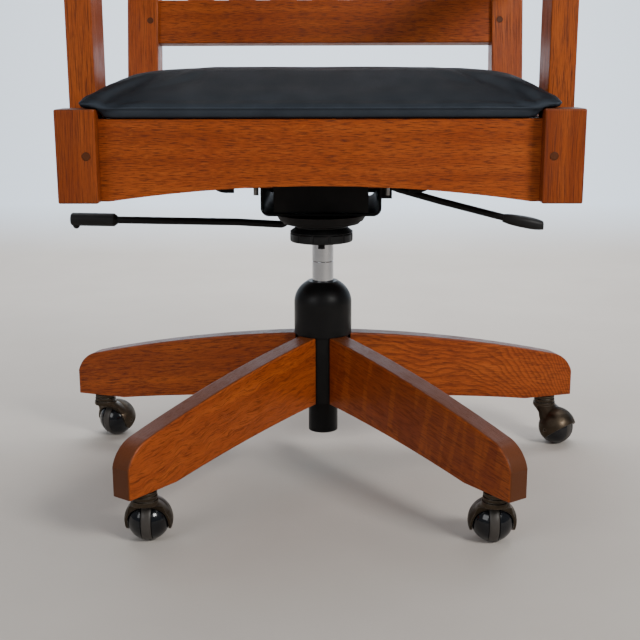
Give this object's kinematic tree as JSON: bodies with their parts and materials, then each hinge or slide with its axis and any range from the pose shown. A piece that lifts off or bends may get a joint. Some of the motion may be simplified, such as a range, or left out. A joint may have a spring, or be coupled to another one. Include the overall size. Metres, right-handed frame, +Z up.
{
  "type": "office chair",
  "caption": "Oak swivel office chair with arms, slatted back, padded black leather seat, gas lift, tilt mechanism with levers and a star base on hooded ball casters.",
  "frame": {"origin": "on the floor under the column axis, where the casters stand at z = 0", "axes": "+Z up along the column, +X to the right seen from the front, the chair faces -Y"},
  "size_m": [0.7171, 0.6882, 0.9594],
  "materials": {
    "oak": "satin",
    "pale_wood": "matte",
    "dark_wood": "satin",
    "leather": "satin",
    "black_paint": "satin",
    "steel_rod": "polished",
    "zinc": "satin",
    "black_plastic": "matte",
    "bronze": "satin",
    "ball_black": "gloss"
  },
  "bodies": {
    "base": {"leg_1": "oak", "leg_2": "oak", "leg_3": "oak", "leg_4": "oak", "leg_5": "oak", "hub": "black_paint", "hub_cover": "black_paint", "leg_fasteners": "zinc", "caster_sockets": "zinc", "column_tube": "black_paint", "guide_bush": "black_plastic"},
    "column_swivel": {"piston_rod": "steel_rod", "thrust_bearing": "steel_rod"},
    "lift": {"gas_cylinder": "steel_rod", "mechanism_housing": "black_paint", "spring_dish": "black_paint", "tilt_axle": "zinc", "axle_spacers": "zinc"},
    "release_button": {"release_button": "black_plastic"},
    "height_lever": {"height_lever": "black_paint", "height_grip": "black_plastic"},
    "tension_knob": {"tension_knob": "black_plastic"},
    "tension_bolt": {"tension_bolt": "zinc", "spring_retainer": "black_paint"},
    "tilt_lock": {"tilt_lock_lever": "black_paint", "tilt_lock_grip": "black_plastic"},
    "seat": {"tilt_plate": "black_paint", "tilt_spring": "zinc", "mount_bolts": "zinc", "front_rail": "oak", "side_rail_left": "oak", "side_rail_right": "oak", "rear_rail": "oak", "front_post_left": "oak", "front_post_right": "oak", "back_post_left": "oak", "back_post_right": "oak", "bearer_left": "pale_wood", "bearer_right": "pale_wood", "corner_blocks": "pale_wood", "seat_deck": "pale_wood", "seat_cushion": "leather", "joint_pegs": "dark_wood", "arm_support_left": "oak", "arm_support_right": "oak", "arm_left": "oak", "arm_right": "oak", "crest_rail": "oak", "lower_back_rail": "oak", "back_slats": "oak"},
    "caster_1_swivel": {"caster_1_hood": "bronze"},
    "caster_1_wheel": {"caster_1_ball": "ball_black"},
    "caster_2_swivel": {"caster_2_hood": "bronze"},
    "caster_2_wheel": {"caster_2_ball": "ball_black"},
    "caster_3_swivel": {"caster_3_hood": "bronze"},
    "caster_3_wheel": {"caster_3_ball": "ball_black"},
    "caster_4_swivel": {"caster_4_hood": "bronze"},
    "caster_4_wheel": {"caster_4_ball": "ball_black"},
    "caster_5_swivel": {"caster_5_hood": "bronze"},
    "caster_5_wheel": {"caster_5_ball": "ball_black"}
  },
  "joints": [
    {"name": "seat_swivel", "type": "hinge", "parent": "base", "child": "column_swivel", "pos_m": [0, 0, 0.064], "axis": [0, 0, 1], "continuous": true},
    {"name": "seat_height", "type": "slide", "parent": "column_swivel", "child": "lift", "axis": [0, 0, 1], "range_m": [-0.025, 0.075]},
    {"name": "seat_tilt", "type": "hinge", "parent": "lift", "child": "seat", "pos_m": [0, 0.03, 0.376], "axis": [-1, 0, 0], "range_deg": [0, 10], "stiffness_Nm_per_rad": 120, "springref_deg": -20.05, "deforming": ["tilt_spring"]},
    {"name": "height_lever_lift", "type": "hinge", "parent": "lift", "child": "height_lever", "pos_m": [0.04, 0, 0.3907], "axis": [0, -1, 0], "range_deg": [0, 6], "stiffness_Nm_per_rad": 0.5, "springref_deg": -17.19},
    {"name": "release_press", "type": "slide", "parent": "lift", "child": "release_button", "axis": [0, 0, -1], "range_m": [0, 0.0048], "stiffness_N_per_m": 400, "springref_m": -0.003},
    {"name": "tension_turn", "type": "hinge", "parent": "lift", "child": "tension_knob", "pos_m": [0, -0.105, 0.332], "axis": [0, 0, 1], "range_deg": [-365, 725]},
    {"name": "tension_draw", "type": "slide", "parent": "lift", "child": "tension_bolt", "axis": [0, 0, -1], "range_m": [-0.0015, 0.003]},
    {"name": "tilt_lock_turn", "type": "hinge", "parent": "lift", "child": "tilt_lock", "pos_m": [-0.044, -0.06, 0.35], "axis": [0, 0, 1], "range_deg": [0, 20]},
    {"name": "caster_1_turn", "type": "hinge", "parent": "base", "child": "caster_1_swivel", "pos_m": [0, 0.335, 0.0677], "axis": [0, 0, 1], "continuous": true},
    {"name": "caster_1_roll", "type": "hinge", "parent": "caster_1_swivel", "child": "caster_1_wheel", "pos_m": [0.00735, 0.3552, 0.0245], "axis": [0.9397, -0.342, 0], "continuous": true},
    {"name": "caster_2_turn", "type": "hinge", "parent": "base", "child": "caster_2_swivel", "pos_m": [0.3186, 0.10352, 0.0677], "axis": [0, 0, 1], "continuous": true},
    {"name": "caster_2_roll", "type": "hinge", "parent": "caster_2_swivel", "child": "caster_2_wheel", "pos_m": [0.33399, 0.08851, 0.0245], "axis": [-0.6984, -0.7157, 0], "continuous": true},
    {"name": "caster_3_turn", "type": "hinge", "parent": "base", "child": "caster_3_swivel", "pos_m": [0.19691, -0.27102, 0.0677], "axis": [0, 0, 1], "continuous": true},
    {"name": "caster_3_roll", "type": "hinge", "parent": "caster_3_swivel", "child": "caster_3_wheel", "pos_m": [0.19691, -0.24952, 0.0245], "axis": [1, 0, 0], "continuous": true},
    {"name": "caster_4_turn", "type": "hinge", "parent": "base", "child": "caster_4_swivel", "pos_m": [-0.19691, -0.27102, 0.0677], "axis": [0, 0, 1], "continuous": true},
    {"name": "caster_4_roll", "type": "hinge", "parent": "caster_4_swivel", "child": "caster_4_wheel", "pos_m": [-0.19691, -0.24952, 0.0245], "axis": [1, 0, 0], "continuous": true},
    {"name": "caster_5_turn", "type": "hinge", "parent": "base", "child": "caster_5_swivel", "pos_m": [-0.3186, 0.10352, 0.0677], "axis": [0, 0, 1], "continuous": true},
    {"name": "caster_5_roll", "type": "hinge", "parent": "caster_5_swivel", "child": "caster_5_wheel", "pos_m": [-0.30743, 0.12189, 0.0245], "axis": [0.8545, -0.5195, 0], "continuous": true}
  ],
  "couplings": [
    {"joint": "release_press", "follows": "height_lever_lift", "m_per_rad": 0.045},
    {"joint": "tension_turn", "follows": "tension_draw", "rad_per_m": 4188.8}
  ]
}
